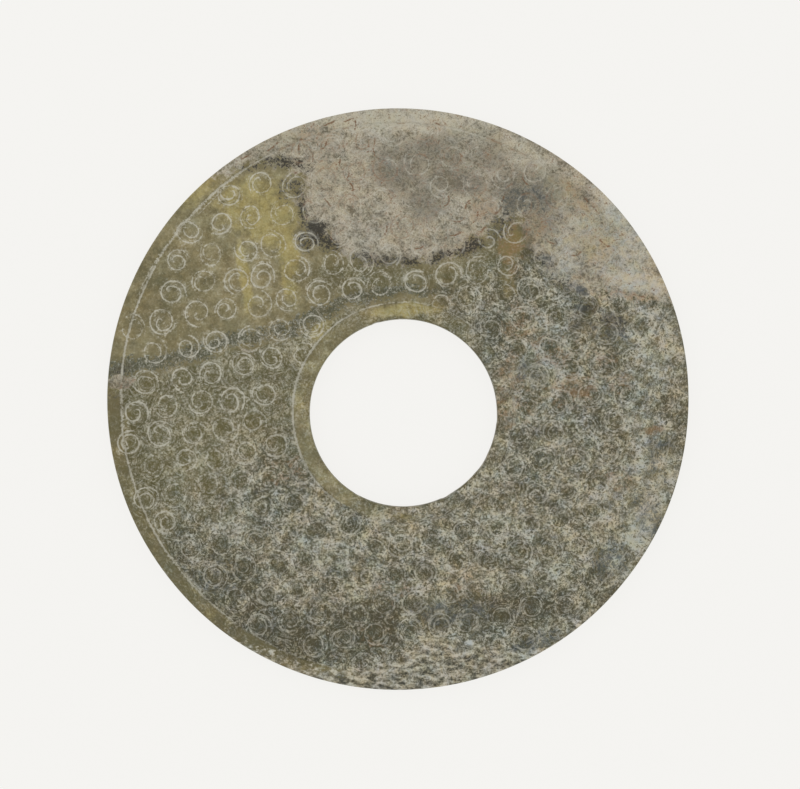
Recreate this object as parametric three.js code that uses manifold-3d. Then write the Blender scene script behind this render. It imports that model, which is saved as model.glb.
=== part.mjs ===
// A jade bi disc: a thin flat disc of nephrite with a round hole, lying on one face.
// Each face has a plain band at the rim and another round the hole, each ended by an incised ring.
// The field between the rings is sunk a little, and rows of low grains stand in it.
// Millimetres, +Z up. The origin is on the surface under the middle of the disc.
import * as THREE from "three";
import { mergeVertices } from "three/addons/utils/BufferGeometryUtils.js";
import Module from "manifold-3d";

// The disc
const discDiameter = 150;
const discThickness = 4.5;
const rimChamfer = 0.45;
const rimSides = 92;

// The hole, bored a little off the middle
const holeDiameter = 48.4;
const holeOffsetX = 1.4;
const holeOffsetY = -3.55;
const holeChamfer = 0.35;
const holeSides = 56;

// The plain bands and the incised rings that end them, cut below the field's floor
const rimBandWidth = 4.0;
const holeBandWidth = 4.2;
const ringWidth = 0.8;
const ringDepth = 0.2;

// The sunk field and its grains, whose tops stay just below the bands
const fieldDepth = 0.32;
const grainClearance = 0.02;
const grainDiameter = 5.8;
const upperGrainSides = 7;
const underGrainSides = 6;

// The rows of grains: one runs along rowAngle, and the next starts one step further along stepAngle
const grainPitch = 8.2;
const rowAngle = 9.3;
const stepPitch = 8.15;
const stepAngle = -105.5;
const firstGrainX = -44.1;
const firstGrainY = 22.8;

// How far a grain's foot reaches into the disc, and how far a cutting solid runs past its faces
const joinDepth = 0.1;
const cutPast = 1;

const discRadius = discDiameter / 2;
const holeRadius = holeDiameter / 2;
const rimRingRadius = discRadius - rimBandWidth;
const holeRingRadius = holeRadius + holeBandWidth;
const fieldRimRadius = rimRingRadius - ringWidth / 2;
const fieldHoleRadius = holeRingRadius + ringWidth / 2;
const ringFloor = fieldDepth + ringDepth;
const grainHeight = fieldDepth - grainClearance;

const wasm = await Module();
wasm.setup();

// A closed geometry as a solid, with its vertices merged and its collapsed faces dropped
function solidOf(geometry) {
  const bare = geometry.clone();
  bare.deleteAttribute("normal");
  bare.deleteAttribute("uv");
  const merged = mergeVertices(bare, 1e-4);
  const corners = merged.index.array;
  const kept = [];
  for (let i = 0; i < corners.length; i += 3) {
    const [a, b, c] = corners.slice(i, i + 3);
    if (a !== b && b !== c && c !== a) kept.push(a, b, c);
  }
  return new wasm.Manifold(
    new wasm.Mesh({
      numProp: 3,
      vertProperties: new Float32Array(merged.attributes.position.array),
      triVerts: new Uint32Array(kept),
    }),
  );
}

function geometryOf(solid) {
  const mesh = solid.getMesh();
  const places = new Float32Array(mesh.numVert * 3);
  for (let i = 0; i < mesh.numVert; i++) {
    places.set(mesh.vertProperties.subarray(i * mesh.numProp, i * mesh.numProp + 3), i * 3);
  }
  const geometry = new THREE.BufferGeometry();
  geometry.setAttribute("position", new THREE.BufferAttribute(places, 3));
  geometry.setIndex(new THREE.BufferAttribute(mesh.triVerts, 1));
  geometry.computeVertexNormals();
  return geometry;
}

// A solid turned round the Z axis from points of [radius, height], then moved to its centre
function turned(profile, sides, x, y) {
  const points = profile.map(([radius, height]) => new THREE.Vector2(radius, height));
  const geometry = new THREE.LatheGeometry(points, sides);
  geometry.rotateX(Math.PI / 2);
  geometry.translate(x, y, 0);
  return solidOf(geometry);
}

// The same profile for the upper face, walked back so that the two join into one
function mirrored(profile) {
  return profile.map(([radius, height]) => [radius, discThickness - height]).reverse();
}

// A plain round of the given radius, from the level bottom up to the level top
function round(radius, bottom, top) {
  return [[0, bottom], [radius, bottom], [radius, top], [0, top]];
}

function turnedAtRim(profile) {
  return turned(profile, rimSides, 0, 0);
}

function turnedAtHole(profile) {
  return turned(profile, holeSides, holeOffsetX, holeOffsetY);
}

// The blank: the rim, its plain band on each face, the outer ring and the floor of the field
function discBlank() {
  const under = [
    [0, fieldDepth],
    [fieldRimRadius, fieldDepth],
    [rimRingRadius, ringFloor],
    [rimRingRadius + ringWidth / 2, 0],
    [discRadius - rimChamfer, 0],
    [discRadius, rimChamfer],
  ];
  return turnedAtRim([...under, ...mirrored(under)]);
}

// The plain band round the hole, at full thickness like the rim's band
function holeBand() {
  return turnedAtHole(round(holeRingRadius, 0, discThickness));
}

// The incised ring round the hole band, cut into both faces
function holeRingCut() {
  const inner = holeRingRadius - ringWidth / 2;
  const under = [
    [inner, -ringFloor],
    [fieldHoleRadius, -ringFloor],
    [fieldHoleRadius, fieldDepth],
    [holeRingRadius, ringFloor],
    [inner, 0],
    [inner, -ringFloor],
  ];
  return turnedAtHole(under).add(turnedAtHole(mirrored(under)));
}

// The bore, which its chamfer widens at both faces
function holeCut() {
  const under = [
    [0, -holeChamfer],
    [holeRadius + 2 * holeChamfer, -holeChamfer],
    [holeRadius, holeChamfer],
  ];
  return turnedAtHole([...under, ...mirrored(under)]);
}

// A step of the given length in the plane of the face
function stepOf(length, degrees) {
  const angle = THREE.MathUtils.degToRad(degrees);
  return new THREE.Vector2(Math.cos(angle), Math.sin(angle)).multiplyScalar(length);
}

// Every place of the rows that lies in the field
function grainPlaces() {
  const along = stepOf(grainPitch, rowAngle);
  const down = stepOf(stepPitch, stepAngle);
  const first = new THREE.Vector2(firstGrainX, firstGrainY);
  const hole = new THREE.Vector2(holeOffsetX, holeOffsetY);
  const reach = Math.ceil((discDiameter + first.length()) / Math.min(grainPitch, stepPitch));
  const places = [];
  for (let row = -reach; row <= reach; row++) {
    for (let step = -reach; step <= reach; step++) {
      const place = first.clone().addScaledVector(along, step).addScaledVector(down, row);
      const insideRim = place.length() < fieldRimRadius;
      const outsideHole = place.distanceTo(hole) > fieldHoleRadius;
      if (insideRim && outsideHole) places.push(place);
    }
  }
  return places;
}

// One low grain, its foot sunk below the field's floor so that it joins the disc
function grain(sides) {
  const sunk = joinDepth / grainHeight;
  const cone = new THREE.ConeGeometry((grainDiameter / 2) * (1 + sunk), grainHeight + joinDepth, sides);
  cone.rotateX(Math.PI / 2);
  cone.translate(0, 0, (grainHeight - joinDepth) / 2);
  return solidOf(cone);
}

// The grains of both faces, cut off where they meet a ring
function grains() {
  const upper = grain(upperGrainSides);
  const under = grain(underGrainSides).rotate([180, 0, 0]);
  const placed = grainPlaces().flatMap(({ x, y }) => [
    upper.translate([x, y, discThickness - fieldDepth]),
    under.translate([x, y, fieldDepth]),
  ]);
  const fieldRim = turnedAtRim(round(fieldRimRadius, 0, discThickness));
  const fieldHole = turnedAtHole(round(fieldHoleRadius, -cutPast, discThickness + cutPast));
  return wasm.Manifold.union(placed).intersect(fieldRim).subtract(fieldHole);
}

const jade = new THREE.MeshStandardMaterial({ color: 0x76725c, roughness: 0.5, metalness: 0 });

function biDisc() {
  const blank = discBlank().add(holeBand()).subtract(holeRingCut());
  const carved = blank.add(grains()).subtract(holeCut());
  const mesh = new THREE.Mesh(geometryOf(carved), jade);
  mesh.name = "jade_bi_disc";
  return mesh;
}

const part = new THREE.Group();
part.name = "bi_disc";
part.add(biDisc());

export default part;
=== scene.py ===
import math
import random

import bmesh
import bpy
import numpy as np
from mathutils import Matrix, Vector, geometry, kdtree, noise


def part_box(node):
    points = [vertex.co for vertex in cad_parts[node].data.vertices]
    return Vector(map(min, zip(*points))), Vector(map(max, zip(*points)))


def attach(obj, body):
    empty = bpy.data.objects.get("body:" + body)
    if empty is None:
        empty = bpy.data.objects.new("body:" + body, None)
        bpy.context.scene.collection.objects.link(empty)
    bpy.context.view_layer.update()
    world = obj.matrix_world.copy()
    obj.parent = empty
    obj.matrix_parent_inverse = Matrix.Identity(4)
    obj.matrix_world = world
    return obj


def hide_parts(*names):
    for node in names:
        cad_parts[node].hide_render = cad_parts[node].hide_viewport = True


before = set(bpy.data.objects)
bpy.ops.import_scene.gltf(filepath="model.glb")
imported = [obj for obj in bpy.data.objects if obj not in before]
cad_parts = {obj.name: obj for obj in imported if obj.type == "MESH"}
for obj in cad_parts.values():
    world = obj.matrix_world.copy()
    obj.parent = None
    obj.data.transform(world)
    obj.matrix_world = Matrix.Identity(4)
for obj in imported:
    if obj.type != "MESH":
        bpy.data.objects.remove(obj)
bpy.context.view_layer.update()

mm = 0.001                               # every size below is in millimetres
low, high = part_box("jade_bi_disc")
discRadius = (high[0] - low[0]) / 2 / mm
thickness = (high[2] - low[2]) / mm
slack = 0.01                             # two heights nearer than this count as one


# Helpers for modelling


def clearSelection():
    bpy.ops.object.select_all(action="DESELECT")


def selectLevelEdges(piece, wanted):     # in edit mode: only the level edges whose two ends pass the test
    bpy.ops.mesh.select_mode(type="EDGE")
    bpy.ops.mesh.select_all(action="DESELECT")
    sheet = bmesh.from_edit_mesh(piece.data)
    for edge in sheet.edges:
        first, second = [vert.co / mm for vert in edge.verts]
        isLevel = abs(first.z - second.z) < slack
        edge.select_set(isLevel and wanted(first) and wanted(second))
    bmesh.update_edit_mesh(piece.data)


def selectFlatFaces(piece):
    bpy.ops.mesh.select_mode(type="FACE")
    bpy.ops.mesh.select_all(action="DESELECT")
    sheet = bmesh.from_edit_mesh(piece.data)
    for face in sheet.faces:
        face.select_set(abs(face.normal.z) > 0.999)
    bmesh.update_edit_mesh(piece.data)


def unevenness(x, y, size, seed):        # smooth noise from -1 to 1 that changes over a length of size
    return noise.noise(Vector((x / size, y / size, seed)))


def smoothStep(value):
    value = np.clip(value, 0, 1)
    return value * value * (3 - 2 * value)


# The blank: a bored disc with rounded edges, its outline a little uneven from the cutting

disc = {
    "rimSides": 400, "holeSides": 200,
    "holeX": 1.4, "holeY": -3.55, "holeRadius": 24.2,
    "rimRound": 0.6, "holeRound": 0.4, "roundSteps": 4,
    "rimWobble": 0.22, "holeWobble": 0.12, "wobbleLength": 30,
    "floorWobble": 0.03, "floorWobbleLength": 9,
    # how far loose points stay from the rounded edges, what is taken as one point, and the smoothed angle
    "clearOfEdge": 0.8, "cutMerge": 0.004, "joinMerge": 0.002, "smoothAngle": 22,
    # losses in the edge of the hole: direction in degrees, half width in degrees, depth
    "nicks": [(-63.5, 3.0, 0.45), (-33, 6.5, 0.35), (107, 2.5, 0.3), (-4, 3.0, 0.2), (-120, 2.0, 0.2)],
}
midRadius = (discRadius + disc["holeRadius"]) / 2


def holePolar(x, y):                     # distance and direction in degrees from the middle of the hole
    across = x - disc["holeX"]
    up = y - disc["holeY"]
    return math.hypot(across, up), math.degrees(math.atan2(up, across))


def addBlank():
    clearSelection()
    bpy.ops.mesh.primitive_circle_add(vertices=disc["rimSides"], radius=discRadius * mm)
    piece = bpy.context.object
    piece.name = "carved_disc"
    bpy.ops.object.mode_set(mode="EDIT")
    bpy.ops.mesh.primitive_circle_add(
        vertices=disc["holeSides"],
        radius=disc["holeRadius"] * mm,
        location=(disc["holeX"] * mm, disc["holeY"] * mm, 0),
    )
    bpy.ops.mesh.select_all(action="SELECT")
    bpy.ops.mesh.bridge_edge_loops()
    bpy.ops.mesh.extrude_region_move(TRANSFORM_OT_translate={"value": (0, 0, thickness * mm)})
    bpy.ops.mesh.select_all(action="SELECT")
    bpy.ops.mesh.normals_make_consistent()
    for atRim, rounding in ((True, disc["rimRound"]), (False, disc["holeRound"])):
        def isCorner(co):
            return min(co.z, thickness - co.z) < slack and (co.xy.length > midRadius) == atRim
        selectLevelEdges(piece, isCorner)
        bpy.ops.mesh.bevel(offset=rounding * mm, segments=disc["roundSteps"], affect="EDGES")
    selectFlatFaces(piece)
    bpy.ops.mesh.delete(type="ONLY_FACE")
    bpy.ops.object.mode_set(mode="OBJECT")
    return piece


def wearBlank(piece):
    for vert in piece.data.vertices:
        x, y, z = vert.co / mm
        fromHole, direction = holePolar(x, y)
        if math.hypot(x, y) > midRadius:
            wobble = disc["rimWobble"] * (unevenness(x, y, disc["wobbleLength"], 3.7) - 1) / 2
            vert.co.xy *= 1 + wobble / discRadius
            continue
        grow = disc["holeWobble"] * unevenness(x, y, disc["wobbleLength"], 8.1)
        nearTop = 0.3 + 0.7 * z / thickness
        for towards, halfWidth, depth in disc["nicks"]:
            apart = (direction - towards + 180) % 360 - 180
            grow += depth * nearTop * max(0, 1 - (apart / halfWidth) ** 2)
        scale = grow / fromHole
        vert.co.x += (x - disc["holeX"]) * scale * mm
        vert.co.y += (y - disc["holeY"]) * scale * mm


def openLoops(piece, level):             # the rim loop and the hole loop of the blank at one level, in order
    sheet = bmesh.new()
    sheet.from_mesh(piece.data)
    rim = []
    hole = []
    for vert in sheet.verts:
        onBorder = any(edge.is_boundary for edge in vert.link_edges)
        if onBorder and abs(vert.co.z / mm - level) < slack:
            loop = rim if vert.co.xy.length / mm > midRadius else hole
            loop.append(vert.co.xy / mm)
    sheet.free()
    rim.sort(key=lambda co: math.atan2(co.y, co.x))
    hole.sort(key=lambda co: holePolar(co.x, co.y)[1])
    return rim, hole


# The incised rings, which end the plain bands and bound the sunk field

rings = {
    "rimRadius": 71.0, "rimShiftX": -0.35, "rimDeviation": 0.22,
    "holeRadius": 28.55, "holeDeviation": 0.2,
    "halfWidth": 0.45, "depth": 0.12, "fieldDepth": 0.32, "step": 0.8,
    # over what distance the field sinks, how far lines run past a ring, and how far slips do
    "fieldFade": 0.8, "clearOfRing": 0.3, "linePast": 0.1, "slipPast": 1.8,
    # the inner ring starts again a little further out past this direction, and comes back over the fade
    "breakAt": 236, "breakShift": 0.55, "breakFade": 40,
    # where the cutter slipped beside the rim ring: offset inwards, from and to in degrees
    "slips": [
        (0.45, 122, 146), (-0.6, 146, 160), (1.1, 128, 138), (0.55, 176, 192), (0.6, 214, 226),
        (0.65, 332, 350),
    ],
    # how plainly each ring shows as a pale line: direction in degrees, strength
    "rimShows": [
        (0, 0.5), (12, 0.15), (52, 0.5), (70, 0.9), (102, 1), (120, 0.95), (150, 1), (200, 1),
        (222, 0.9), (245, 0.5), (285, 0.3), (315, 0.75), (340, 0.8), (360, 0.5),
    ],
    "holeShows": [
        (0, 0.35), (22, 0.3), (36, 0.75), (60, 0.55), (92, 0.5), (118, 0.9), (150, 1.2), (200, 1.3),
        (233, 1.3), (238, 0.15), (246, 0.75), (262, 0.8), (285, 0.55), (305, 0.7), (325, 0.3),
        (345, 0.6), (360, 0.35),
    ],
}


def rimRing(angle):                      # radius of the outer ring, about its own centre
    x = rings["rimRadius"] * math.cos(angle)
    y = rings["rimRadius"] * math.sin(angle)
    return rings["rimRadius"] + rings["rimDeviation"] * unevenness(x, y, 24, 5.2)


def holeRing(angle):
    x = rings["holeRadius"] * math.cos(angle)
    y = rings["holeRadius"] * math.sin(angle)
    past = (math.degrees(angle) - rings["breakAt"]) % 360
    shift = rings["breakShift"] * max(0, 1 - past / rings["breakFade"])
    return rings["holeRadius"] + shift + rings["holeDeviation"] * unevenness(x, y, 14, 1.6)


def fieldShare(x, y):                    # distances into the field from the rim ring and from the hole ring
    across = x - rings["rimShiftX"]
    fromRim = rimRing(math.atan2(y, across)) - math.hypot(across, y)
    fromHole, direction = holePolar(x, y)
    return fromRim, fromHole - holeRing(math.radians(direction))


def ringDepth(into):                     # depth below the plain band at a distance into the field
    half = rings["halfWidth"]
    floor = rings["fieldDepth"] + rings["depth"]
    return np.interp(into, (-half, 0, half), (0, floor, rings["fieldDepth"]))


def ringCut(x, y):                       # how much of a pale line the rings make here, from 0 to about 1
    fromRim, fromHole = fieldShare(x, y)
    atRim = max(0, 1 - abs(fromRim) / rings["halfWidth"])
    atHole = max(0, 1 - abs(fromHole) / rings["halfWidth"])
    atRim *= np.interp(math.degrees(math.atan2(y, x)) % 360, *zip(*rings["rimShows"]))
    atHole *= np.interp(holePolar(x, y)[1] % 360, *zip(*rings["holeShows"]))
    return max(atRim, atHole) * (0.95 + 0.4 * unevenness(x, y, 2.5, 4.4))


def ringRows():                          # the rows of points that carry the profile of the two rings
    rows = []
    for offset in (-rings["halfWidth"], 0, rings["halfWidth"]):
        for angle in np.arange(0, 2 * math.pi, rings["step"] / rings["rimRadius"]):
            radius = rimRing(angle) + offset
            rows.append((rings["rimShiftX"] + radius * math.cos(angle), radius * math.sin(angle)))
        for angle in np.arange(0, 2 * math.pi, rings["step"] / rings["holeRadius"]):
            radius = holeRing(angle) + offset
            rows.append((disc["holeX"] + radius * math.cos(angle), disc["holeY"] + radius * math.sin(angle)))
    return rows


def slipLine(inwards, fromAngle, toAngle, spacing):
    count = round(math.radians(toAngle - fromAngle) * rings["rimRadius"] / spacing)
    points = []
    for share in np.linspace(0, 1, count):
        angle = math.radians(fromAngle + (toAngle - fromAngle) * share)
        radius = rimRing(angle) - inwards * (0.75 + 0.5 * share)
        fade = min(1, 6 * share, 6 * (1 - share))
        points.append((rings["rimShiftX"] + radius * math.cos(angle), radius * math.sin(angle), 0.5 * fade))
    return np.array(points)


# The curls: rows of low grains, each with one incised line that winds inwards

curls = {
    "pitch": 8.2, "rowAngle": 9.3, "step": 8.15, "stepAngle": -105.5, "firstX": -44.1, "firstY": 22.8,
    "rows": 14, "clearOfRing": 0.6, "crackDepth": 0.4,
    "jitter": 0.45, "radius": (2.6, 3.2), "turns": (1.3, 1.85), "squash": 0.09, "drift": 0.22,
    "mirrored": 0.35,                    # the share of curls that wind the other way
    # distance of the line from the middle, as a share of the radius, at a share of its length
    "reach": [(0, 1.2), (0.07, 1.04), (0.42, 0.98), (0.6, 0.84), (0.76, 0.56), (0.92, 0.46), (1, 0.16)],
    "halfWidth": 0.36, "depth": 0.12, "force": (0.6, 1.1),
    # second strokes beside some of the lines
    "echoes": 0.6, "echoOffset": 0.5, "echoShare": (0.14, 0.4), "echoForce": 0.65,
    "grainHeight": 0.28, "grainTop": 1.1, "grainFoot": 3.2, "nearWidth": 1.3,
    "upperStep": 0.45, "upperFill": 1.15, "underStep": 0.85, "underFill": 1.5, "clearOfLine": 0.5,
}


def curlPlaces(draw):
    along = Vector((math.cos(math.radians(curls["rowAngle"])), math.sin(math.radians(curls["rowAngle"]))))
    down = Vector((math.cos(math.radians(curls["stepAngle"])), math.sin(math.radians(curls["stepAngle"]))))
    places = []
    for row in range(-curls["rows"], curls["rows"] + 1):
        for column in range(-curls["rows"], curls["rows"] + 1):
            place = Vector((curls["firstX"], curls["firstY"]))
            place += along * curls["pitch"] * column + down * curls["step"] * row
            place += Vector((draw.gauss(0, 1), draw.gauss(0, 1))) * curls["jitter"]
            if min(fieldShare(*place)) > curls["clearOfRing"]:
                places.append(place)
    return places


def evenly(drawn, spacing):              # the same line with points at an even spacing
    lengths = np.concatenate([[0], np.cumsum(np.hypot(*np.diff(drawn[:, :2], axis=0).T))])
    stops = np.linspace(0, lengths[-1], max(3, round(lengths[-1] / spacing)))
    return np.column_stack([np.interp(stops, lengths, drawn[:, k]) for k in range(3)])


def curlLine(draw, place, spacing):      # points [x, y, pressure] along one curl
    radius = draw.uniform(*curls["radius"])
    turns = draw.uniform(*curls["turns"])
    hand = -1 if draw.random() < curls["mirrored"] else 1
    start = draw.uniform(0, 2 * math.pi)
    driftAngle = draw.uniform(0, 2 * math.pi)
    squashAngle = draw.uniform(0, math.pi)
    squash = draw.uniform(-1, 1) * curls["squash"]
    force = draw.uniform(*curls["force"])
    wave = draw.uniform(0, 100)
    knots, reaches = zip(*curls["reach"])
    drawn = []
    for share in np.linspace(0, 1, 160):
        angle = start + hand * turns * 2 * math.pi * share
        reach = radius * np.interp(share, knots, reaches)
        reach *= 1 + 0.06 * noise.noise(Vector((share * 9, wave, 0)))
        reach *= 1 + squash * math.cos(2 * (angle - squashAngle))
        drift = radius * curls["drift"] * max(0, share - 0.5) * 2
        pressure = force * (0.9 + 0.5 * noise.noise(Vector((share * 22, wave, 5))))
        pressure *= min(1, 0.35 + share * 9, 0.35 + (1 - share) * 9)
        x = place.x + reach * math.cos(angle) + drift * math.cos(driftAngle)
        y = place.y + reach * math.sin(angle) + drift * math.sin(driftAngle)
        drawn.append((x, y, pressure))
    return evenly(np.array(drawn), spacing)


def echoLine(draw, line):                # a short second stroke beside a part of a curl
    count = len(line)
    length = max(4, round(count * draw.uniform(*curls["echoShare"])))
    first = draw.randrange(0, max(1, round(count * 0.6) - length))
    part = line[first:first + length]
    side = sideOf(part) * curls["echoOffset"] * draw.choice((-1, 1))
    fade = curls["echoForce"] * np.sin(np.linspace(0.15, 1, length) * math.pi * 0.92)
    return np.column_stack([part[:, :2] + side, part[:, 2] * fade])


def sideOf(line):                        # unit steps to the left of a line at each of its points
    ahead = np.gradient(line[:, :2], axis=0)
    ahead /= np.maximum(np.hypot(*ahead.T), 1e-9)[:, None]
    return np.column_stack([-ahead[:, 1], ahead[:, 0]])


def crackLine(x, y, length, direction, bend, spacing):   # points [x, y, strength] along a bent crack
    points = []
    for share in np.linspace(0, 1, max(4, round(length / spacing))):
        angle = math.radians(direction + bend * (share - 0.5))
        points.append((x, y, 0.5 + 0.5 * math.sin(math.pi * share)))
        x += math.cos(angle) * spacing + 0.1 * unevenness(x, y, 0.7, 6.6)
        y += math.sin(angle) * spacing + 0.1 * unevenness(x, y, 0.7, 9.9)
    return np.array(points)


def strokesOf(draw, places, spacing, upper):     # the lines cut into one face, inside the bands
    lines = [curlLine(draw, place, spacing) for place in places]
    if upper:                            # the underside is plainer: no second strokes and no slips
        lines += [echoLine(draw, line) for line in lines if draw.random() < curls["echoes"]]
        lines += [slipLine(*slip, spacing) for slip in rings["slips"]]
    kept = []
    for line in lines:
        shares = [fieldShare(x, y) for x, y, _ in line]
        inside = [min(share) > -rings["linePast"] or abs(share[0]) < rings["slipPast"] for share in shares]
        line = line[np.array(inside)]
        if len(line) > 3:
            kept.append(line)
    return kept


def treeOf(points):
    tree = kdtree.KDTree(len(points))
    for index, point in enumerate(points):
        tree.insert((point[0], point[1], 0), index)
    tree.balance()
    return tree


def fillPoints(draw, lineTree, spacing):         # loose points between the cuts, for the swell of the grains
    reach = math.ceil(discRadius / spacing)
    points = []
    for row in range(-2 * reach, 2 * reach + 1):
        for column in range(-reach - 1, reach + 2):
            x = (column + (row % 2) / 2 + draw.uniform(-0.2, 0.2)) * spacing
            y = (row * math.sqrt(0.75) + draw.uniform(-0.2, 0.2)) * spacing
            if math.hypot(x, y) > discRadius - disc["rimRound"] - disc["clearOfEdge"]:
                continue
            if min(abs(share) for share in fieldShare(x, y)) < rings["halfWidth"] + rings["clearOfRing"]:
                continue
            if holePolar(x, y)[0] < disc["holeRadius"] + disc["holeRound"] + disc["clearOfEdge"]:
                continue
            if lineTree.find((x, y, 0))[2] > curls["clearOfLine"]:
                points.append((x, y))
    return points


def carvedPoint(point, strokes, strokeTree, cracks, crackTree, placeTree, seed):
    x, y = point
    nearest = min(fieldShare(x, y))
    inField = smoothStep(nearest / rings["fieldFade"])
    _, index, apart = strokeTree.find((x, y, 0))
    pressure = strokes[index][2]
    cut = pressure * max(0, 1 - apart / curls["halfWidth"])
    near = pressure * max(0, 1 - apart / curls["nearWidth"])
    fromGrain = placeTree.find((x, y, 0))[2]
    grain = inField * smoothStep((curls["grainFoot"] - fromGrain) / (curls["grainFoot"] - curls["grainTop"]))
    uneven = disc["floorWobble"] * (unevenness(x, y, disc["floorWobbleLength"], seed) - 1) * inField
    _, index, apart = crackTree.find((x, y, 0))
    crack = cracks[index][2] * max(0, 1 - apart / curls["halfWidth"])
    cutDepth = (cut + curls["crackDepth"] * crack) * curls["depth"]
    depth = ringDepth(nearest) + cutDepth - grain * curls["grainHeight"] - uneven
    return max(0, depth), max(cut, ringCut(x, y)), near, grain, fromGrain, crack


def carvedFace(name, seed, spacing, fill, rimLoop, holeLoop, upper):
    draw = random.Random(seed)
    places = curlPlaces(draw)
    lines = strokesOf(draw, places, spacing, upper)
    strokes = np.concatenate(lines)
    strokeTree = treeOf(strokes)
    crackLines = [crackLine(*crack, spacing) for crack in marks["cracks"]]
    cracks = np.concatenate(crackLines)
    crackTree = treeOf(cracks)
    placeTree = treeOf(places)
    borders = []
    for start, count in ((0, len(rimLoop)), (len(rimLoop), len(holeLoop))):
        borders += [(start + k, start + (k + 1) % count) for k in range(count)]
    points = [tuple(point) for point in [*rimLoop, *holeLoop]] + ringRows()
    for line in lines + crackLines:
        side = sideOf(line) * curls["halfWidth"]
        for shift in (0, 1, -1):
            points += [tuple(point) for point in line[:, :2] + side * shift]
    points += fillPoints(draw, treeOf(np.concatenate([strokes, cracks])), fill)
    flat, _, triangles, _, _, _ = geometry.delaunay_2d_cdt(
        [Vector(point) for point in points], borders, [], 1, disc["cutMerge"], False
    )
    centres = [sum((flat[corner] for corner in triangle), Vector((0, 0))) / 3 for triangle in triangles]
    x, y = np.array(centres).T
    onFace = (insideOutline(x, y, rimLoop) > 0) & (insideOutline(x, y, holeLoop) < 0)
    corners = []
    for triangle, kept in zip(triangles, onFace):
        if kept:
            corners.append(tuple(triangle) if upper else tuple(reversed(triangle)))
    carved = [carvedPoint(point, strokes, strokeTree, cracks, crackTree, placeTree, seed) for point in flat]
    depths, *layers = zip(*carved)
    placed = []
    for point, depth in zip(flat, depths):
        height = thickness - depth if upper else depth
        placed.append((point.x * mm, point.y * mm, height * mm))
    mesh = bpy.data.meshes.new(name)
    mesh.from_pydata(placed, [], corners)
    for attribute, values in zip(("cut", "near", "grain", "swirl", "crack"), layers):
        mesh.attributes.new(attribute, "FLOAT", "POINT").data.foreach_set("value", values)
    piece = bpy.data.objects.new(name, mesh)
    bpy.context.collection.objects.link(piece)
    return piece


def addDisc():
    piece = addBlank()
    wearBlank(piece)
    print("blank ready:", len(piece.data.vertices), "vertices")
    faces = []
    for name, seed, spacing, fill, level in (
        ("upperFace", 11, curls["upperStep"], curls["upperFill"], thickness),
        ("underFace", 23, curls["underStep"], curls["underFill"], 0),
    ):
        rim, hole = openLoops(piece, level)
        faces.append(carvedFace(name, seed, spacing, fill, rim, hole, level > 0))
        print(name, "carved:", len(faces[-1].data.polygons), "triangles")
    clearSelection()
    for part in [*faces, piece]:
        part.select_set(True)
    bpy.context.view_layer.objects.active = piece
    bpy.ops.object.join()
    bpy.ops.object.mode_set(mode="EDIT")
    bpy.ops.mesh.select_all(action="SELECT")
    bpy.ops.mesh.remove_doubles(threshold=disc["joinMerge"] * mm)
    bpy.ops.mesh.quads_convert_to_tris()
    bpy.ops.mesh.normals_make_consistent()
    bpy.ops.object.mode_set(mode="OBJECT")
    bpy.ops.object.shade_smooth_by_angle(angle=math.radians(disc["smoothAngle"]))
    return piece


# The stone's markings, painted onto the mesh as attributes

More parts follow.
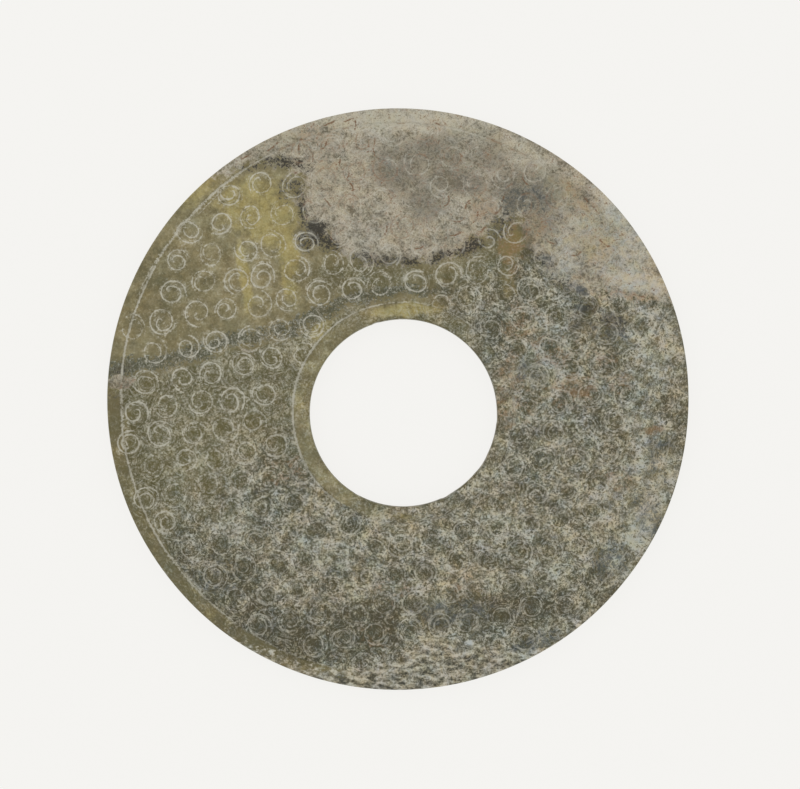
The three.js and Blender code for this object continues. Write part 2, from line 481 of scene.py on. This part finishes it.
marks = {
    # the altered, pale part: its lower edge from left to right, then back outside the rim
    "altered": [
        (-46, 57), (-41.5, 59.5), (-38, 60.5), (-30, 61), (-27, 59), (-24.7, 57), (-24, 53.5),
        (-25, 50.5), (-24.3, 47), (-22.3, 44.5), (-19.5, 42), (-16.5, 39.5), (-13.5, 37), (-9, 35.5),
        (-4.5, 34.5), (3, 35), (8, 35), (12, 36), (15.5, 36.8), (18.5, 38.5), (20.5, 40.7), (23, 43.3),
        (26.3, 45.8), (31.4, 45.6), (32.5, 41.5), (35, 37), (39, 32.3), (42.6, 29.2), (47.6, 27.6),
        (57, 26), (67.5, 24.6), (76, 25), (90, 90), (-60, 90), (-60, 57),
    ],
    # the pale, streaked part along the lower rim, laid out the same way
    "lower": [
        (-42, -61.5), (-36, -64.5), (-29, -67.6), (-20, -69.8), (-12.3, -69.8), (-4.5, -68.4),
        (0.5, -66.5), (5.5, -63), (12, -61), (18.5, -62.5), (26, -63.2), (34, -64.5), (42, -61.5),
        (50, -55), (60, -60), (0, -95), (-50, -70),
    ],
    # the dark vein through the olive part: x, y, half width
    "vein": [
        (-77, 7, 3.4), (-70, 8, 3.4), (-62, 9.5, 2.4), (-51, 12.5, 2.6), (-40.5, 15.7, 2.4),
        (-28, 18, 2.8), (-19, 22.5, 2.4), (-10, 26.5, 2), (3, 28, 1.6), (14, 27.5, 1),
    ],
    # ovals: x, y, half width, half height, turn in degrees, strength
    "yellow": [
        (-37, 50, 12, 8.5, 0, 0.75), (-33, 47, 8, 8, 0, 1), (-39.4, 31.5, 1.7, 10.5, 8.5, 1),
        (-28, 36, 2.6, 12, 5, 1), (29.2, 40, 3.6, 5.4, 0, 1), (28.4, 30.5, 2.6, 6, 12, 0.55),
        (1.8, 23, 11, 2, 3, 0.9), (-19.5, 18, 5, 2.2, 50, 0.6), (-51, 53.8, 9, 2.6, 42, 0.6),
        (1.8, -30, 5, 1.5, 0, 0.35), (-73, -18, 1.6, 22, -14, 0.5),
    ],
    "dark": [
        (-35, 60, 7, 1.4, 5, 0.5), (-28.3, 60.8, 6, 1.5, -10, 0.85), (-27.8, 53.8, 3, 4, 0, 0.5),
        (-24.5, 50, 1.8, 7, 5, 0.75), (-20.6, 44.6, 4, 2, -10, 1), (-18, 40.2, 5, 2.2, -35, 0.95),
        (-23.9, 40.9, 3.2, 3.2, 0, 0.75), (-3.3, 35.8, 6, 1.6, 0, 0.85), (3.6, 35.5, 3.5, 1.8, 0, 0.8),
        (-8.5, 36.8, 4, 1.3, 0, 0.65), (10.8, 36.6, 4, 1.6, 20, 0.85), (19, 39, 4.5, 2, 30, 0.95),
        (26.3, 46.4, 3, 1.5, 35, 0.75), (36.5, 35.5, 5, 2.8, -45, 0.35), (43, 29.6, 5, 2.4, -32, 0.4),
        (49.5, 23, 4, 1.6, 5, 0.55), (48, 25, 5, 1.8, 0, 0.4), (55.5, 19.8, 4, 2.4, -10, 0.5),
        (46.8, 20.4, 3.5, 3.5, 0, 0.3), (-72, 7.5, 5, 1.2, 10, 0.5), (26.5, 43.5, 4, 3, 60, 0.6),
        (-20.8, 43, 2.4, 3, 0, 1.5), (-73, 1, 3, 0.8, 10, 0.45),
    ],
    "cool": [
        (38.3, 35.8, 2.5, 1.5, -40, 0.9), (47.4, 28, 2, 1.4, -45, 0.9), (47.5, 23.2, 3.4, 1.3, 0, 0.9),
        (55.8, 21, 3, 1.5, -15, 0.8), (29.6, 50, 1.7, 3, -25, 1.1), (30.3, 50.5, 4.5, 3.5, 40, 1),
        (35.3, 51.2, 5, 4, 0, 0.65), (9.5, -55.5, 7, 4, 0, 0.8), (18.5, -54, 8, 5, 10, 0.55),
        (35.3, -62.5, 7, 2, 18, 1), (54.6, -41.5, 6, 5, 40, 0.7), (65, -31, 4, 10, 20, 0.6),
        (67.5, -15.7, 4, 8, 0, 0.5), (54.6, 17.8, 6, 5, 0, 0.55), (34, 7.5, 5, 4, 0, 0.4),
        (28.8, 1.1, 3, 4, 0, 0.4), (-46, -45, 8, 6, 0, 0.35),
    ],
    "warm": [
        (43, 1, 8, 5, 0, 0.5), (66, -8.2, 3.5, 1.8, 0, 1), (34, -4, 4, 3, 0, 0.45),
        (-0.8, -49, 5, 4, 0, 0.5), (-29, -18.2, 7, 4, 0, 0.5), (22.4, 48.7, 4, 4, 0, 0.8),
        (-48.4, 60, 5, 2.5, 40, 0.45), (46.8, 52.5, 6, 2, -40, 0.7), (52, 39.7, 6, 6, 0, 0.35),
        (62.3, 26.5, 6, 1.5, -10, 0.8), (29.3, 38, 3.2, 8, 5, 0.9), (-20, 68, 7, 3, 10, 0.65),
        (-17.5, 61.5, 5, 6, 0, 0.45), (9.5, 70.5, 3.5, 1.5, -20, 0.7), (16, 41, 9, 4, 0, 0.4),
        (36.5, 43.5, 5, 4, 0, 0.45), (29.5, 44, 3, 3, 0, 0.6), (-5, -61, 6, 4, 0, 0.4),
        (40, 12, 8, 5, 0, 0.6), (46, 3.5, 7, 4, 0, 0.9), (32, 20, 7, 6, 0, 0.5),
        (29, 2, 5, 12, 0, 0.55), (53, 11, 5, 3, 0, 0.6), (57, 4, 6, 3, 10, 0.6),
        (57, -21, 6, 5, 0, 0.4), (18.5, -49, 5, 4, 0, 0.35),
    ],
    # golden-beige stains in the altered part
    "honey": [
        (44, 52, 12, 4, -42, 0.8), (52, 41, 9, 7, 0, 0.8), (60, 31, 9, 3, -10, 0.4),
        (-8, 71.5, 20, 2.6, 2, 0.5), (18, 69, 12, 3, -16, 0.4), (-30, 65, 8, 3, 28, 0.6),
        (37, 40, 6, 5, 0, 0.6), (-20, 55, 5, 8, 0, 0.3),
    ],
    # parts above the vein that are fibrous too
    "fibrous": [(-6, 31.5, 20, 5, 0, 0.6), (24, 34, 10, 8, 0, 0.7)],
    # whitish crusts that lie on the olive stone
    "crusts": [(-71.5, 4.4, 4.5, 2.1, 8, 1.25), (-38.5, 12.8, 2.5, 1, 10, 0.8)],
    # grey clouds in the altered part
    "cloud": [
        (0.5, 60, 8, 9, 0, 0.6), (31.5, 55, 10, 6, 0, 0.7), (8.2, 62.8, 12, 6, 10, 0.6),
        (14.7, 56.4, 9, 4, -10, 0.8), (7, 51.2, 6, 6, 0, 0.6), (23.7, 62.8, 9, 5, -10, 0.5),
        (36.5, 55, 8, 6, -30, 0.7), (37.8, 46, 8, 5, 0, 0.5),
    ],
    # short brown cracks in the altered part: x, y, length, direction and bend in degrees
    "cracks": [
        (-20, 70, 5, 25, 10), (-14, 71.3, 3.5, 15, -20), (-11, 69.5, 3, 95, 30),
        (-25.5, 63.5, 4, 80, -40), (-22, 61, 3.5, 100, 40), (-19.5, 64.5, 2.6, 60, 60),
        (-15, 60.2, 2.4, 80, -20), (-13.5, 56.5, 3, 75, 60), (-11.6, 53.5, 3, 110, 50),
        (-17.5, 49.8, 2.6, 130, 20), (-27, 56.5, 3, 60, -60), (9, 71.5, 3, -25, 10),
        (11.5, 49.5, 4.5, 70, 110), (14, 45.8, 4, 20, 70), (17.5, 48.6, 4, 55, -90),
        (12.5, 42.3, 4.6, 15, 60), (19.5, 45.5, 4.2, 80, 80), (21.5, 42.8, 3.6, 35, -70),
        (24.5, 47.5, 4, 50, 50), (26.5, 50.5, 3, 70, 20), (47.5, 52.5, 3.4, -45, 20),
        (49.5, 50.2, 3, -50, -20), (52, 41, 3.5, -30, 60), (61, 27, 3.6, -15, 20),
        (38, 41.5, 3.4, -20, 90), (44.5, 37, 3.4, 30, 80), (-3, 43, 2.4, 90, 40),
        (4.5, 38.8, 2.6, 20, 60), (32, 57.5, 2.6, -60, 50), (-33.5, 64, 3.4, 40, 30),
        (-40, 61.8, 3, 40, 20), (-6, 62.5, 2.4, 110, 40),
    ],
    # broad parts that are darker than their surroundings, and paler ones
    "shadow": [
        (-73, -14, 4, 14, 6, 1), (-68, -31, 4, 12, 25, 1), (-58, -47, 4, 12, 40, 1),
        (-60, 26, 14, 12, 0, 0.3), (-13, 31, 16, 6, 0, 0.6), (-32, -8, 4, 18, 0, 0.5),
        (12, 31, 8, 4, 0, 0.5), (-36, -56, 14, 8, -30, 0.8), (-69, -6, 7, 12, 0, 1.2),
        (-53.5, 3.6, 14, 4, 0, 0.4), (-64, -23.5, 7, 8, 0, 0.5), (-60, -41.5, 6, 14, -35, 0.55),
        (-43, -60, 10, 6, -35, 1.1), (-28, -62, 15, 6, -8, 1.5), (-9, -59.5, 11, 8, 0, 1.5),
        (-42, -47, 10, 9, -20, 0.8), (0.5, -44, 4, 8, 0, 0.35), (31.5, -54.2, 12, 5.5, 10, 1.4),
        (52, -48, 5, 6, 40, 0.5), (34, -15.7, 7, 3, 0, 0.5), (56, 15, 5, 5, 0, 0.4),
        (70, -2.8, 5, 3, 0, 0.5), (23.7, 17.8, 4, 6, 0, 0.5), (-33, -20.8, 5, 5, 0, 0.35),
        (-40.5, -8, 7, 4, 0, 0.35), (16, -56, 12, 4, 5, 0.5), (28.8, 34, 4.5, 9, 4, 1.2),
        (30, 40, 5, 5, 0, 1.8), (-20, 5, 14, 3, 12, 0.3),
    ],
    "light": [
        (66, -18, 7, 8, 0, 0.7), (65, -33.5, 8, 9, 20, 0.9), (57, -44, 5, 4, 0, 0.6),
        (57, -26, 8, 8, 0, 0.4), (-43, -31, 7, 5, 0, 0.5), (-51, -15.7, 5, 4, 0, 0.5),
        (62, 30.6, 8, 2.5, -8, 1), (47, 41, 8, 8, 0, 0.3), (-17.5, -39, 6, 4, 0, 0.3),
        (41.5, 18, 5, 5, 0, 0.3), (60, 39, 8, 6, 0, 0.5), (57, 50, 7, 6, -40, 0.6),
        (66, 14, 8, 12, 0, 0.6), (63, -3, 7, 8, 0, 0.35), (38, 9, 9, 8, 0, 0.4),
        (0, 71.5, 24, 3, 0, 0.8), (33, 62, 9, 3.5, -32, 0.5), (-18.5, -21.5, 2.4, 9, 40, 0.3),
    ],
    # the mottling grows along this direction, from a first to a last distance from the origin
    "mottleAcross": 0.62, "mottleUp": -0.78, "mottleFrom": -42, "mottleTo": 18,
    # where the plain bands lie, as distances from their middles, and where their left part ends
    "rimBandFrom": 70.2, "holeBandTo": 29, "bandFade": 1.2, "leftEnd": 10, "leftFade": 25, "bandYellow": 0.26,
    # below the vein the stone turns fibrous over this distance
    "veinFade": 6,
    # the length of the waves by which the markings stray from their drawn places
    "strayLength": 5,
    "slant": 0.7,                        # how far the markings lean through the thickness
}


def ovalsAt(x, y, ovals):                # the strongest oval at each place: full inside, fading past its edge
    strongest = np.zeros(len(x))
    for centreX, centreY, halfWidth, halfHeight, turn, strength in ovals:
        cosine = math.cos(math.radians(turn))
        sine = math.sin(math.radians(turn))
        across = ((x - centreX) * cosine + (y - centreY) * sine) / halfWidth
        up = ((y - centreY) * cosine - (x - centreX) * sine) / halfHeight
        share = strength * smoothStep((1.35 - np.hypot(across, up)) / 0.95)
        strongest = np.maximum(strongest, share)
    return strongest


def alongLine(x, y, line):               # 1 on the middle of a line of (x, y, half width), 0 at its edges
    share = np.zeros(len(x))
    for (x0, y0, wide0), (x1, y1, wide1) in zip(line, line[1:]):
        length = math.hypot(x1 - x0, y1 - y0)
        along = np.clip(((x - x0) * (x1 - x0) + (y - y0) * (y1 - y0)) / length ** 2, 0, 1)
        apart = np.hypot(x - x0 - along * (x1 - x0), y - y0 - along * (y1 - y0))
        share = np.maximum(share, 1 - apart / (wide0 + (wide1 - wide0) * along))
    return share


def insideOutline(x, y, outline):        # distance to a closed outline, positive inside it
    apart = np.full(len(x), 1e9)
    inside = np.zeros(len(x), bool)
    for (x0, y0), (x1, y1) in zip(outline, outline[1:] + outline[:1]):
        square = (x1 - x0) ** 2 + (y1 - y0) ** 2
        along = np.clip(((x - x0) * (x1 - x0) + (y - y0) * (y1 - y0)) / square, 0, 1)
        apart = np.minimum(apart, np.hypot(x - x0 - along * (x1 - x0), y - y0 - along * (y1 - y0)))
        crosses = (y0 > y) != (y1 > y)
        if y1 != y0:
            inside ^= crosses & (x < x0 + (y - y0) * (x1 - x0) / (y1 - y0))
    return np.where(inside, apart, -apart)


def paintMarks(piece):
    spots = np.empty(len(piece.data.vertices) * 3)
    piece.data.vertices.foreach_get("co", spots)
    x, y, z = spots.reshape(-1, 3).T / mm
    radius = np.hypot(x, y)
    fromHole = np.hypot(x - disc["holeX"], y - disc["holeY"])
    onBand = smoothStep((radius - marks["rimBandFrom"]) / marks["bandFade"])
    onBand += smoothStep((marks["holeBandTo"] - fromHole) / marks["bandFade"])
    onLeftBand = onBand * smoothStep((marks["leftEnd"] - x) / marks["leftFade"])
    x = x + marks["slant"] * (thickness - z)
    length = marks["strayLength"]
    strayX = np.array([unevenness(a, b, length, 2.2) for a, b in zip(x, y)])
    strayY = np.array([unevenness(a, b, length, 7.9) for a, b in zip(x, y)])
    x = x + strayX
    y = y + strayY
    mottle = x * marks["mottleAcross"] + y * marks["mottleUp"] - marks["mottleFrom"]
    mottle = smoothStep(mottle / (marks["mottleTo"] - marks["mottleFrom"]))
    veinX, veinY, _ = zip(*marks["vein"])
    belowVein = smoothStep((np.interp(x, veinX, veinY) - y) / marks["veinFade"])
    crusts = ovalsAt(x, y, marks["crusts"]) * 8 - 6          # as a distance, like the outline that they join
    layers = {
        "altered": np.maximum(insideOutline(x, y, marks["altered"]), crusts),
        "lower": insideOutline(x, y, marks["lower"]),
        "vein": np.maximum(0, alongLine(x, y, marks["vein"])),
        "mottle": mottle * (1 - 0.3 * onBand) * (1 - 0.3 * onLeftBand),
        "fibre": np.maximum(mottle, belowVein) * (1 - 0.2 * onBand) * (1 - 0.4 * onLeftBand),
        "plain": ovalsAt(x, y, marks["shadow"]),
        "shade": ovalsAt(x, y, marks["light"]) - ovalsAt(x, y, marks["shadow"]),
    }
    layers["fibre"] = np.maximum(layers["fibre"], ovalsAt(x, y, marks["fibrous"]))
    for name in ("yellow", "dark", "cool", "warm", "honey", "cloud"):
        layers[name] = ovalsAt(x, y, marks[name])
    layers["yellow"] = np.maximum(layers["yellow"], marks["bandYellow"] * onLeftBand * belowVein)
    for name, values in layers.items():
        piece.data.attributes.new(name, "FLOAT", "POINT").data.foreach_set("value", values.astype(np.float32))


# Shader maths written as Python expressions


class Wire:
    def __init__(self, finish, socket):
        self.finish = finish
        self.socket = socket

    def math(self, operation, *values):
        return self.finish.add("ShaderNodeMath", {"operation": operation}, dict(enumerate(values)))

    def __add__(self, other):
        return self.math("ADD", self, other)

    def __radd__(self, other):
        return self.math("ADD", other, self)

    def __sub__(self, other):
        return self.math("SUBTRACT", self, other)

    def __rsub__(self, other):
        return self.math("SUBTRACT", other, self)

    def __mul__(self, other):
        return self.math("MULTIPLY", self, other)

    def __rmul__(self, other):
        return self.math("MULTIPLY", other, self)

    def most(self, other):
        return self.math("MAXIMUM", self, other)

    def size(self):
        return self.math("ABSOLUTE", self)

    def within(self, start, end):        # 0 at start, 1 at end, with soft shoulders
        values = {"Value": self, "From Min": start, "From Max": end}
        return self.finish.add("ShaderNodeMapRange", {"interpolation_type": "SMOOTHSTEP"}, values)


class Finish:
    def __init__(self, name):
        self.material = bpy.data.materials.new(name)
        self.material.use_nodes = True
        self.tree = self.material.node_tree
        self.tree.nodes.clear()

    def add(self, kind, settings, values, output=0):
        node = self.tree.nodes.new(kind)
        for name, setting in settings.items():
            if name == "stops":
                self.setStops(node.color_ramp, setting)
            else:
                setattr(node, name, setting)
        for key, value in values.items():
            if isinstance(value, Wire):
                self.tree.links.new(value.socket, node.inputs[key])
            else:
                node.inputs[key].default_value = value
        return Wire(self, node.outputs[output]) if len(node.outputs) else None

    def setStops(self, ramp, stops):
        while len(ramp.elements) < len(stops):
            ramp.elements.new(0.5)
        for element, (place, colour) in zip(ramp.elements, stops):
            element.position = place
            element.color = colour

    def attribute(self, name):
        return self.add("ShaderNodeAttribute", {"attribute_name": name}, {}, "Fac")

    def vector(self, operation, first, second):
        return self.add("ShaderNodeVectorMath", {"operation": operation}, {0: first, 1: second})

    def noise(self, vector, scale, detail=3, roughness=0.6, output="Fac", distortion=0):
        values = {"Vector": vector, "Scale": scale, "Detail": detail, "Roughness": roughness}
        values["Distortion"] = distortion
        return self.add("ShaderNodeTexNoise", {}, values, output)

    def crests(self, vector, scale, detail, roughness):      # a net of crests, of about 0.5 to 1.5
        values = {"Vector": vector, "Scale": scale, "Detail": detail, "Roughness": roughness}
        values.update({"Offset": 0.9, "Gain": 2})
        return self.add("ShaderNodeTexNoise", {"noise_type": "RIDGED_MULTIFRACTAL"}, values)

    def tinted(self, vector, scale, tint, detail=2):         # a grey that wanders to and from a tint
        stops = []
        for place, side in ((0.2, -1), (0.5, 0), (0.8, 1)):
            stops.append((place, (*(0.5 + side * part for part in tint), 1)))
        return self.ramp(self.noise(vector, scale, detail), stops)

    def shifted(self, vector, scale, amount, detail=2):      # the vector moved about by noise
        cloud = self.noise(vector, scale, detail, 0.6, "Color")
        moved = self.vector("MULTIPLY", self.vector("SUBTRACT", cloud, (0.5,) * 3), (amount,) * 3)
        return self.vector("ADD", vector, moved)

    def threads(self, vector, scale, width, detail=2):       # 1 on thin wandering lines
        return 1 - (self.noise(vector, scale, detail, 0.55) - 0.5).size().within(0, width)

    def mix(self, share, under, over, mode="MIX"):
        settings = {"data_type": "RGBA", "blend_type": mode}
        return self.add("ShaderNodeMix", settings, {0: share, 6: under, 7: over}, 2)

    def ramp(self, value, stops):
        return self.add("ShaderNodeValToRGB", {"stops": stops}, {0: value})


def tone(red, green, blue):              # a colour picked as 0 to 255 screen values
    values = []
    for part in (red / 255, green / 255, blue / 255):
        values.append(part / 12.92 if part <= 0.04045 else ((part + 0.055) / 1.055) ** 2.4)
    return (*values, 1)


# The stone

stone = {
    "rampPlaces": (0.15, 0.33, 0.5, 0.67, 0.85),
    # from dark to pale, for each kind of ground
    "olive": (
        tone(98, 91, 60), tone(116, 107, 74), tone(129, 120, 87),
        tone(144, 135, 101), tone(159, 151, 120),
    ),
    "fibre": (
        tone(80, 75, 43), tone(91, 86, 55), tone(103, 98, 70),
        tone(122, 117, 91), tone(149, 145, 121),
    ),
    "mottle": (
        tone(66, 63, 43), tone(85, 81, 59), tone(106, 102, 82),
        tone(139, 135, 116), tone(174, 170, 152),
    ),
    "yellow": (
        tone(116, 105, 64), tone(138, 126, 77), tone(153, 141, 88),
        tone(164, 152, 99), tone(176, 165, 120),
    ),
    "pale": (
        tone(104, 97, 79), tone(130, 123, 105), tone(149, 142, 124),
        tone(165, 158, 139), tone(184, 178, 159),
    ),
    "lower": (
        tone(62, 60, 48), tone(92, 88, 71), tone(130, 125, 106),
        tone(158, 153, 135), tone(184, 180, 163),
    ),
    "eye": tone(92, 86, 51), "vein": tone(66, 67, 49), "darkMark": tone(44, 41, 32),
    "dirt": tone(78, 68, 52), "cloud": tone(103, 102, 94), "haze": tone(152, 147, 124),
    "honey": tone(154, 145, 112), "slate": tone(61, 66, 63), "rust": tone(134, 100, 64),
    "crack": tone(108, 78, 50), "thread": tone(182, 179, 162), "speck": tone(72, 62, 44),
    "filling": tone(194, 191, 176), "brownFilling": tone(130, 98, 68),
    "roughness": 0.45,
}


def stops(name):
    return list(zip(stone["rampPlaces"], stone[name]))


def addStoneFinish():
    finish = Finish("nephrite")
    surface = finish.add("ShaderNodeTexCoord", {}, {}, "Object")
    place = finish.vector("MULTIPLY", surface, (1 / mm,) * 3)
    layer = {}
    for name in ("cut", "near", "grain", "swirl", "crack", "altered", "lower", "vein", "mottle", "fibre",
                 "shade", "plain", "yellow", "dark", "cool", "warm", "honey", "cloud"):
        layer[name] = finish.attribute(name)

    def roughened(name, spread, start, end, edge=0.3):       # a layer whose edge is rough
        return (layer[name] + spread).within(start, end) * layer[name].within(0, edge)

    crumbs = finish.noise(place, 0.4, 4, 0.8) - 0.5          # each of these swings about zero
    fine = finish.noise(place, 1.5, 3, 0.85) - 0.5
    drift = finish.noise(place, 0.11, 3, 0.6) - 0.5
    swirled = finish.shifted(place, 0.4, 3)
    frost = finish.crests(swirled, 1.2, 3, 0.7) - 1
    patches = finish.noise(place, 0.28, 3, 0.65) - 0.5
    curly = finish.noise(place, 0.5, 4, 0.75, distortion=1.5) - 0.5
    value = crumbs * 1.7 + fine * 1.5 + drift * 0.4 + 0.5 + layer["shade"] * 0.35
    smooth = crumbs * 1.2 + patches * 0.55 + fine * 0.7 + drift * 0.5 + 0.46 + layer["shade"] * 0.4
    inner = 1 - (layer["swirl"] + fine * 2 + crumbs * 3).within(1.9, 2.7)
    cover = (patches + curly * 0.8).within(-0.15, 0.15)      # the frost is rough, the stone beside it smooth
    frosted = patches * 1.5 + curly * 0.9 + drift * 0.55 + (frost * 0.5 + fine * 2.4) * (0.15 + 0.85 * cover)
    frosted = frosted + 0.47 + layer["shade"] * 0.32 - inner * 0.15
    wisps = finish.threads(swirled, 0.5, 0.02).most(finish.threads(swirled, 1.1, 0.04))
    wisps = wisps * fine.within(-0.12, 0.1) * (1 - 0.5 * layer["plain"])
    around = finish.add("ShaderNodeCombineXYZ", {}, {"Z": layer["swirl"] * 1.6})
    flow = finish.vector("ADD", finish.vector("MULTIPLY", swirled, (0.35,) * 3), around)
    hair = finish.threads(flow, 1, 0.07) * fine.within(-0.15, 0.1)

    # olive stone that turns fibrous, then mottled, towards the lower right
    mottled = (layer["mottle"] + drift * 0.7).within(0.05, 0.95)
    fibrous = (layer["fibre"] + drift + crumbs).within(0.2, 0.8)
    colour = finish.ramp(smooth, stops("olive"))
    colour = finish.mix(fibrous, colour, finish.ramp(frosted * 0.85 + 0.05, stops("fibre")))
    colour = finish.mix(mottled.within(0.3, 0.8), colour, finish.ramp(frosted, stops("mottle")))
    haze = (layer["near"] + crumbs * 2 + fine).within(0.2, 1.2) * (1 - mottled) * 0.35
    colour = finish.mix(haze, colour, stone["haze"])
    eye = inner * (0.1 + 0.75 * fibrous * (1 - mottled)) * (1 - (patches * 2 + curly).within(0, 0.5) * 0.6)
    colour = finish.mix(eye, colour, stone["eye"])
    yellow = roughened("yellow", drift * 0.5 + patches * 0.6 + crumbs, 0.1, 0.9, 0.2)
    colour = finish.mix(yellow * 0.9, colour, finish.ramp(smooth, stops("yellow")))
    vein = roughened("vein", patches * 2 + crumbs * 3 + fine * 4, 0, 0.5, 0.12)
    colour = finish.mix(vein * 0.85, colour, stone["vein"])
    colour = finish.mix(wisps * (0.06 + 0.4 * fibrous).most(0.8 * vein), colour, stone["thread"])
    colour = finish.mix(hair * (0.05 + 0.5 * fibrous) * (1 - 0.5 * layer["grain"]), colour, stone["thread"])

    # the streaked part at the lower rim
    turn = (0, 0, math.radians(-12))
    streaky = finish.add("ShaderNodeMapping", {}, {"Vector": place, "Rotation": turn, "Scale": (0.5, 1.1, 1)})
    streaks = (finish.noise(streaky, 0.7, 4, 0.65) - 0.5) * 2.3 + curly * 0.6 + frost * 0.2 + fine + 0.5
    lower = (layer["lower"] + (streaks - 0.5) * 4).within(-0.6, 1.2)
    colour = finish.mix(lower, colour, finish.ramp(streaks, stops("lower")))

    # the altered part: pale and clouded
    altered = (layer["altered"] + crumbs * 12 + fine * 5).within(-1, 1.4)
    cloud = (layer["cloud"] + drift + patches + crumbs * 2 + fine).within(0.1, 1)
    pale = finish.ramp((value - 0.5) * 1.25 + patches * 0.5 + frost * 0.2 + 0.55 - cloud * 0.3, stops("pale"))
    pale = finish.mix(cloud * 0.35, pale, stone["cloud"])
    honey = roughened("honey", patches + crumbs * 2 + fine, 0.1, 1, 0.2)
    pale = finish.mix(honey * 0.32, pale, stone["honey"])
    colour = finish.mix(altered, colour, pale)

    # stains, slate-grey patches and the black fringe of the altered part
    stained = roughened("warm", crumbs * 4 + fine * 2.5, 0.3, 1.3)
    colour = finish.mix(stained * 0.5, colour, stone["rust"])
    fissures = finish.threads(swirled, 0.3, 0.013) * (patches + fine).within(0.04, 0.16)
    cracks = (layer["crack"] * 0.9 + fine * 4 + crumbs).within(0.25, 0.65).most(fissures * 0.9)
    colour = finish.mix(cracks * altered * 0.9, colour, stone["crack"])
    cool = roughened("cool", curly * 3 + crumbs * 3 + fine * 3, 0.3, 1.1)
    colour = finish.mix(cool * 0.8, colour, stone["slate"])
    dirt = roughened("dark", crumbs * 3 + fine * 2, 0, 1.2, 0.2)
    colour = finish.mix(dirt * 0.45, colour, stone["dirt"])
    dendrites = finish.threads(swirled, 0.8, 0.09)
    dark = (layer["dark"] * 1.2 + curly * 3 + fine * 6 + dendrites * 0.3).within(0.75, 1.25)
    dark = dark * layer["dark"].within(0, 0.2)
    colour = finish.mix(dark * 0.95, colour, stone["darkMark"])
    specks = finish.noise(place, 0.8, 1, 0.5).within(0.76, 0.82) * (1 - mottled)
    colour = finish.mix(specks * 0.6, colour, stone["speck"])
    hues = 0.4 + 0.6 * mottled
    colour = finish.mix(hues, colour, finish.tinted(swirled, 0.6, (0.06, 0, -0.08)), "OVERLAY")
    colour = finish.mix(hues, colour, finish.tinted(place, 0.3, (-0.005, 0.015, -0.03)), "OVERLAY")
    colour = finish.mix(hues, colour, finish.tinted(place, 0.12, (0.06, 0, -0.07)), "OVERLAY")

    # what fills the cuts: pale, but stained brown here and there in the altered part
    filling = finish.mix(drift.within(-0.02, 0.06) * altered, stone["filling"], stone["brownFilling"])
    filled = (layer["cut"] + fine * 2 + crumbs * 0.5).within(0.16, 0.74)
    feathers = hair * (layer["near"] + fine * 1.5).within(0.2, 0.7)
    shown = (1 - mottled * 0.4) * (1 - altered * 0.4) * (1 - fibrous * 0.12)
    worn = (crumbs * 2 + patches * 1.5).within(-0.5, 0.25) * 0.45 + 0.55
    colour = finish.mix(filled.most(feathers * 0.75) * worn * shown * 0.8, colour, filling)

    bump = finish.add("ShaderNodeBump", {}, {"Strength": 0.12, "Distance": 0.0002, "Height": value})
    roughness = stone["roughness"] + 0.15 * mottled
    shader = finish.add("ShaderNodeBsdfPrincipled", {}, {
        "Base Color": colour, "Roughness": roughness, "Specular IOR Level": 0.3, "Normal": bump,
    })
    finish.add("ShaderNodeOutputMaterial", {}, {"Surface": shader})
    return finish.material


# Floor, light and camera

stage = {
    "photoWidth": 800, "photoHeight": 789, "pixelsPerMillimetre": 3.887,
    "discPixelX": 397.96, "discPixelY": 399.15, "lens": 100,
    "floor": tone(245, 244, 241), "floorSize": 3, "floorShade": 0.07,
    "worldStrength": 0.92, "lampStrength": 0.9, "lampSize": 0.7,
}


def addStage():
    clearSelection()
    bpy.ops.mesh.primitive_plane_add(size=stage["floorSize"])
    floor = bpy.context.object
    floor.name = "floor"
    paper = Finish("litPaper")           # lit from below, like a light table, so it takes hardly any shadow
    glow = paper.add("ShaderNodeEmission", {}, {"Color": stage["floor"]})
    matt = paper.add("ShaderNodeBsdfDiffuse", {}, {"Color": stage["floor"]})
    shader = paper.add("ShaderNodeMixShader", {}, {0: stage["floorShade"], 1: glow, 2: matt})
    paper.add("ShaderNodeOutputMaterial", {}, {"Surface": shader})
    floor.data.materials.append(paper.material)

    world = bpy.data.worlds.new("studio")
    bpy.context.scene.world = world
    world.use_nodes = True
    sky = world.node_tree.nodes["Background"]
    sky.inputs["Color"].default_value = (1, 1, 1, 1)
    sky.inputs["Strength"].default_value = stage["worldStrength"]
    bpy.ops.object.light_add(type="AREA", location=(-0.5, 0.6, 0.8))
    lamp = bpy.context.object
    lamp.data.size = stage["lampSize"]
    lamp.data.energy = stage["lampStrength"]
    lamp.rotation_euler = (-Vector(lamp.location)).to_track_quat("-Z", "Y").to_euler()


def addCamera():
    middleX = (stage["photoWidth"] / 2 - stage["discPixelX"]) / stage["pixelsPerMillimetre"]
    middleY = (stage["discPixelY"] - stage["photoHeight"] / 2) / stage["pixelsPerMillimetre"]
    width = stage["photoWidth"] / stage["pixelsPerMillimetre"]
    bpy.ops.object.camera_add()
    camera = bpy.context.object
    camera.data.lens = stage["lens"]
    distance = width * stage["lens"] / camera.data.sensor_width
    camera.location = (middleX * mm, middleY * mm, (thickness + distance) * mm)
    camera.rotation_euler = (0, 0, 0)
    camera.data.clip_start = 0.01
    bpy.context.scene.camera = camera


piece = addDisc()
paintMarks(piece)
piece.data.materials.clear()
piece.data.materials.append(addStoneFinish())
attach(piece, "root")
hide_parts("jade_bi_disc")
print("disc ready:", len(piece.data.polygons), "triangles")

addStage()
addCamera()
bpy.context.scene.view_settings.view_transform = "Standard"
print("stage ready")
